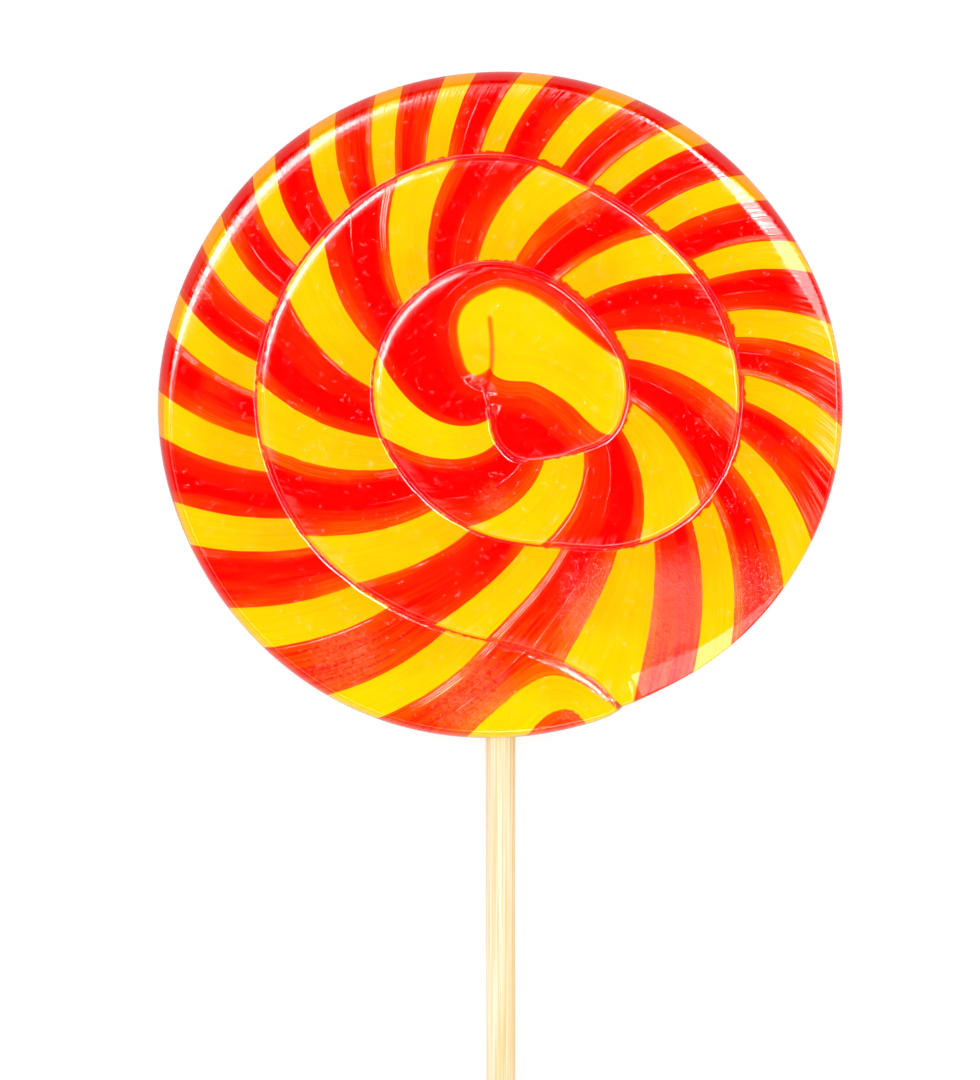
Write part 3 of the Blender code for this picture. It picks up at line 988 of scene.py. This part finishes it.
YELLOW_GREEN, STREAK_GREEN = 0.53, 0.16
# Painted shade takes green from the yellow towards a turn's inner edge, mixed with random tone.
TONE_DRIFT, INNER_SHADE_ACROSS = 1.4, (0.95, -0.1)
# Green that painted shade takes at the inner edge, that the core adds, and that painted light adds at the
# bottom.
INNER_SHADE_GREEN, CORE_GREEN, BOTTOM_LIGHT_GREEN = -0.102, 0.08, 0.06


def yellow_tone(sugar):
    """How much green the yellow has: less towards a turn's inner edge, as painted shade mixed with random
    tone, more in the core, and more at the bottom as painted light.
    """
    tone = sugar.line(sugar.drift("tone"), TONE_DRIFT, sugar["across"])
    green = sugar.line(sugar.drift("streaks"), STREAK_GREEN, YELLOW_GREEN)
    # Painted shade towards the inner edge.
    green = sugar.line(sugar.smooth(tone, *INNER_SHADE_ACROSS), INNER_SHADE_GREEN, green)
    green = sugar.line(sugar.shown(IN_CORE), CORE_GREEN, green)
    # Painted light: brighter yellow towards the bottom.
    return sugar.line(sugar.shown(LIT_BOTTOM), BOTTOM_LIGHT_GREEN, green)


TORN_REACH = (0.65, 0.25)  # what the torn side adds to it, and the least
TORN_DRIFT = 1.1
TORN_EDGE = (0.12, -0.12)


def ragged_end(sugar):
    """Where a yellow stripe stops short of the seam inside it."""
    reach = sugar.line(sugar.shown(TORN_SIDE), *TORN_REACH)
    depth = sugar.line(sugar.drift("torn"), TORN_DRIFT, sugar["inner"])
    torn_off = sugar.smooth(sugar.minus(depth, reach), *TORN_EDGE)
    return sugar.times(torn_off, sugar.shown(TORN_ACROSS))


# Fine raised lines along the stripes: where in the twist, half width, and height.
LINES = (
    (0.106, 0.0032, 0.052), (0.116, 0.0028, 0.040), (0.128, 0.0032, 0.052), (0.265, 0.0026, 0.028),
    (0.612, 0.0030, 0.040), (0.735, 0.0026, 0.024),
)
LINES_SHOWN = (("lines shown", 0.42, 0.60),)
GRAIN_HEIGHT = (0.030, 0.004)  # what the seam and the rim add to it, and the least
SCRATCH_WIDTH, SCRATCHES_SHOWN = (0.008, 0.0), (("scratch shown", 0.54, 0.60),)
SPECKS_PER_MM, SPECKS_LEFT_OUT, SPECK_SIZE = 0.8, 0.84, 0.11
SWELL_HEIGHT, SCRATCH_HEIGHT, SPECK_HEIGHT, WRINKLE_HEIGHT = 0.008, 0.008, 0.022, -0.025
SMOOTH_YELLOW = -0.95  # the yellow has hardly any wrinkles


def surface_marks(sugar, yellow, wrinkles):
    """Heights, in mm, of the fine marks in the surface."""
    phase = sugar.math("FRACT", sugar["twist"])
    shown = sugar.times(sugar.shown(LINES_SHOWN), sugar["line"])
    height = 0.0
    for centre, half_width, rise in LINES:
        off = sugar.math("ABSOLUTE", sugar.minus(phase, centre))
        height = sugar.line(sugar.times(sugar.smooth(off, half_width, 0.0), shown), rise, height)

    edges = sugar.most(sugar.shown(GRAIN_BY_SEAM), sugar.shown(GRAIN_BY_RIM))
    height = sugar.line(sugar["streaks"], sugar.line(edges, *GRAIN_HEIGHT), height)
    height = sugar.line(sugar["swell"], SWELL_HEIGHT, height)

    scratches = sugar.times(sugar.thin_lines("scratch", SCRATCH_WIDTH), sugar.shown(SCRATCHES_SHOWN))
    height = sugar.line(scratches, SCRATCH_HEIGHT, height)

    specks = sugar.add("ShaderNodeTexVoronoi", {"Vector": sugar["place"], "Scale": SPECKS_PER_MM}).outputs
    lot = sugar.add("ShaderNodeSeparateColor", {0: specks["Color"]}).outputs[0]
    speck = sugar.smooth(specks["Distance"], SPECK_SIZE, 0.0)
    speck = sugar.times(speck, sugar.math("GREATER_THAN", lot, SPECKS_LEFT_OUT))
    height = sugar.line(speck, SPECK_HEIGHT, height)

    red_sugar = sugar.line(yellow, SMOOTH_YELLOW, 1.0)
    wrinkled = sugar.times(sugar.shown(WRINKLED), red_sugar, wrinkles)
    return sugar.line(wrinkled, WRINKLE_HEIGHT, height)


WOOD = (
    (0.32, (0.72, 0.47, 0.19)), (0.43, (0.77, 0.58, 0.30)), (0.52, (0.80, 0.65, 0.42)),
    (0.64, (0.84, 0.76, 0.60)),
)
WOOD_STRETCH = (1.0, 0.008, 1.0)  # the grain is drawn out along the stick
WOOD_GRAIN = (5.0, 3.0)
WOOD_LIT_SIDE = -0.03  # painted light, paler towards -X: how much paler the wood gets for each mm of X
WOOD_ROUGHNESS = (0.25, 0.45)
WOOD_SPECULAR = 0.2
WOOD_GRAIN_HEIGHT = 0.03 * MM


def stick_material():
    """Pale bare wood with long fine grain."""
    material = bpy.data.materials.new("stick wood")
    nodes = Nodes(material)
    place = nodes.axes(nodes.add("ShaderNodeTexCoord").outputs["Object"])
    stretched = [nodes.times(axis, scale / MM) for axis, scale in zip(place, WOOD_STRETCH)]
    grain = nodes.noise(nodes.vector(*stretched), *WOOD_GRAIN)
    shader = nodes.tree.nodes["Principled BSDF"]
    # Painted light: the wood is paler towards -X.
    colour = nodes.ramp(nodes.line(place[0], WOOD_LIT_SIDE / MM, grain), WOOD)
    nodes.feed(shader.inputs["Base Color"], colour)
    nodes.feed(shader.inputs["Roughness"], nodes.line(grain, *WOOD_ROUGHNESS))
    nodes.bump(shader, grain, WOOD_GRAIN_HEIGHT)
    shader.inputs["Specular IOR Level"].default_value = WOOD_SPECULAR
    return material


# --- The stick ---


def stick_object():
    """The wooden stick, grooved by its grain, from its free end to inside the candy."""
    centre = (STICK_LOW + STICK_HIGH) / 2
    rim = -float(edge_radius(STICK_ANGLE))
    bevel = np.array(BEVEL_STEPS) * STICK_END_BEVEL
    shaft = np.linspace(STICK_LOW.y + STICK_END_BEVEL, rim + STICK_INSIDE, STICK_RINGS)
    lengths = np.concatenate([STICK_LOW.y + bevel, shaft])
    shrink = np.zeros(len(lengths))
    shrink[: len(bevel)] = STICK_END_BEVEL - np.sqrt(STICK_END_BEVEL**2 - (STICK_END_BEVEL - bevel) ** 2)
    vertices = []
    for y, less in zip(lengths, shrink):
        for side in range(STICK_SIDES):
            turn = 2 * math.pi * side / STICK_SIDES
            across = Vector((math.cos(turn), math.sin(turn), 0.0))
            radius = STICK_RADIUS - GRAIN_DEPTH - less
            for fineness, length in GRAIN_GROOVES:
                radius += noise.noise(across * fineness + Vector((0, 0, y / length))) * GRAIN_DEPTH
            vertices.append((centre.x + radius * across.x, y, centre.z + radius * across.y))
    ring = np.arange(STICK_SIDES)
    here = ring + np.arange(len(lengths) - 1)[:, None] * STICK_SIDES
    beside = np.roll(here, -1, axis=1)
    walls = np.stack([here, here + STICK_SIDES, beside + STICK_SIDES, beside], axis=-1)
    ends = [ring, ring[::-1] + here[-1, 0] + STICK_SIDES]
    faces = walls.reshape(-1, 4).tolist() + [end.tolist() for end in ends]
    mesh = bpy.data.meshes.new("stick_wood")
    mesh.from_pydata(vertices, [], faces)
    mesh.shade_smooth()
    mesh.set_sharp_from_angle(angle=math.radians(STICK_SHARP))
    return add_object("stick_wood", mesh, stick_material())


# --- The studio ---


def add_floor():
    """A pale floor that glows a little, so that its shadow is faint."""
    half = FLOOR_SIZE / 2
    mesh = bpy.data.meshes.new("floor")
    corners = [(-half, -half, 0), (half, -half, 0), (half, half, 0), (-half, half, 0)]
    mesh.from_pydata(corners, [], [(0, 1, 2, 3)])
    material = bpy.data.materials.new("floor")
    nodes = Nodes(material)
    shader = nodes.tree.nodes["Principled BSDF"]
    shader.inputs["Base Color"].default_value = FLOOR_COLOUR
    shader.inputs["Roughness"].default_value = FLOOR_ROUGHNESS
    shader.inputs["Specular IOR Level"].default_value = FLOOR_SPECULAR
    ray = nodes.add("ShaderNodeLightPath").outputs
    level = nodes.line(ray["Is Camera Ray"], FLOOR_GLOW - FLOOR_MIRRORED, FLOOR_MIRRORED)
    glow = nodes.add("ShaderNodeEmission", {"Strength": level}).outputs[0]
    share = nodes.line(ray["Is Camera Ray"], FLOOR_GLOW_SHARE, ray["Is Glossy Ray"])
    mixed = nodes.add("ShaderNodeMixShader", {0: share, 1: shader.outputs[0], 2: glow}).outputs[0]
    nodes.feed(nodes.tree.nodes["Material Output"].inputs["Surface"], mixed)
    floor = add_object("floor", mesh, material)
    floor.location.z = -FLOOR_BELOW


def add_light(name, azimuth, elevation, size, radiance, glossy=True):
    """A soft light aimed at the candy, which either lights it or is mirrored in it."""
    light = bpy.data.lights.new(name, "AREA")
    light.shape = "RECTANGLE"
    light.size, light.size_y = size
    light.energy = radiance * math.pi * size[0] * size[1]
    obj = add_object(name, light)
    rise = math.radians(elevation)
    towards = Vector((*on_ray(azimuth, math.cos(rise)), math.sin(rise)))
    obj.location = towards * LIGHT_DISTANCE
    obj.rotation_euler = towards.to_track_quat("Z", "Y").to_euler()
    obj.visible_camera = False
    obj.visible_diffuse = not glossy
    obj.visible_glossy = glossy


def add_world():
    """Pale surroundings, mirrored only close to the horizon."""
    world = bpy.data.worlds.new("studio")
    bpy.context.scene.world = world
    nodes = Nodes(world)
    height = nodes.axes(nodes.add("ShaderNodeTexCoord").outputs["Generated"])[2]
    mirrored = nodes.times(nodes.smooth(height, HORIZON_HEIGHT, 0.0), FLOOR_MIRRORED)
    glossy = nodes.add("ShaderNodeLightPath").outputs["Is Glossy Ray"]
    level = nodes.line(glossy, nodes.minus(mirrored, WORLD_LEVEL), WORLD_LEVEL)
    background = nodes.tree.nodes["Background"]
    background.inputs["Color"].default_value = (1.0, 1.0, 1.0, 1.0)
    nodes.feed(background.inputs["Strength"], level)


def add_camera():
    """A long lens looking straight down."""
    data = bpy.data.cameras.new("camera")
    data.sensor_fit = "HORIZONTAL"
    data.sensor_width = SENSOR_WIDTH
    data.lens = SENSOR_WIDTH * CAMERA_DISTANCE / VIEW_WIDTH
    camera = add_object("camera", data)
    camera.location = (*VIEW_CENTRE, MIDDLE + CAMERA_DISTANCE)
    bpy.context.scene.camera = camera


candy = candy_object()
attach(candy, "root")
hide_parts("candy")

stick = stick_object()
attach(stick, "root")
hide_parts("stick")

add_floor()
add_light(*OVERHEAD, glossy=False)
for name, azimuth, elevation, size, radiance in SHINES:
    add_light("shine_" + name, azimuth, elevation, size, radiance)
add_world()
add_camera()
bpy.context.scene.view_settings.view_transform = "Standard"
